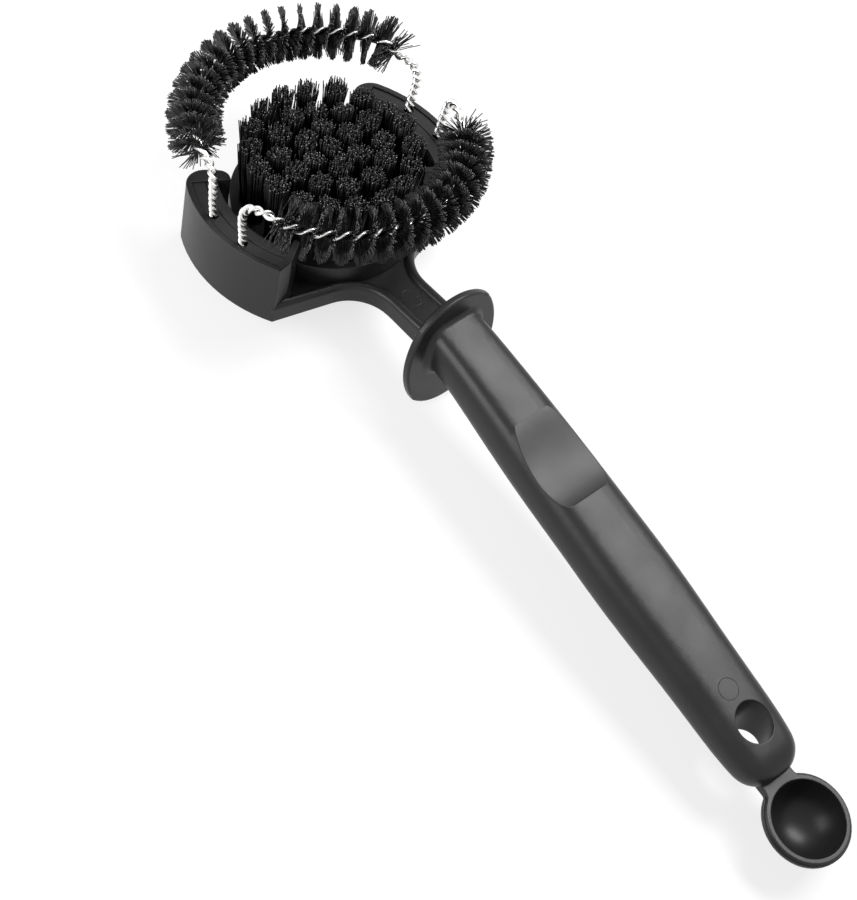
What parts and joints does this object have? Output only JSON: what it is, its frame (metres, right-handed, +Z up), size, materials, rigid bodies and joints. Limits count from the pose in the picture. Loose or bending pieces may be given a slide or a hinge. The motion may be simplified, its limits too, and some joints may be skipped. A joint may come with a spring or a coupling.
{
  "type": "coffee machine cleaning brush",
  "caption": "Cleaning brush for a coffee machine's group head: tuft block, two twisted-wire bristle loops in side pods, oval guard, curved grip with thumb rest, hanging hole and spoon.",
  "frame": {"origin": "centre of the whole brush's box, on the table it lies on", "axes": "+Y from the spoon towards the brush's tip, +X across the head to the right, +Z up, away from the table"},
  "size_m": [0.07, 0.2344, 0.0478],
  "materials": {
    "black_plastic": "fine satin texture",
    "block_plastic": "satin",
    "insert_plastic": "satin",
    "tuft_nylon": "nylon filament",
    "ring_nylon": "nylon filament",
    "stainless_wire": "bright drawn wire",
    "anchor_brass": "plain"
  },
  "bodies": {
    "root": {"handle_moulding": "black_plastic", "tuft_block": "block_plastic", "left_wire_block": "insert_plastic", "right_wire_block": "insert_plastic", "left_retaining_strip": "insert_plastic", "right_retaining_strip": "insert_plastic", "tufts_inner": "tuft_nylon", "tufts_middle": "tuft_nylon", "tufts_outer": "tuft_nylon", "tuft_anchors": "anchor_brass", "far_wire_a": "stainless_wire", "far_wire_b": "stainless_wire", "near_wire_a": "stainless_wire", "near_wire_b": "stainless_wire", "far_wire_bristles": "ring_nylon", "near_wire_bristles": "ring_nylon"}
  },
  "joints": []
}
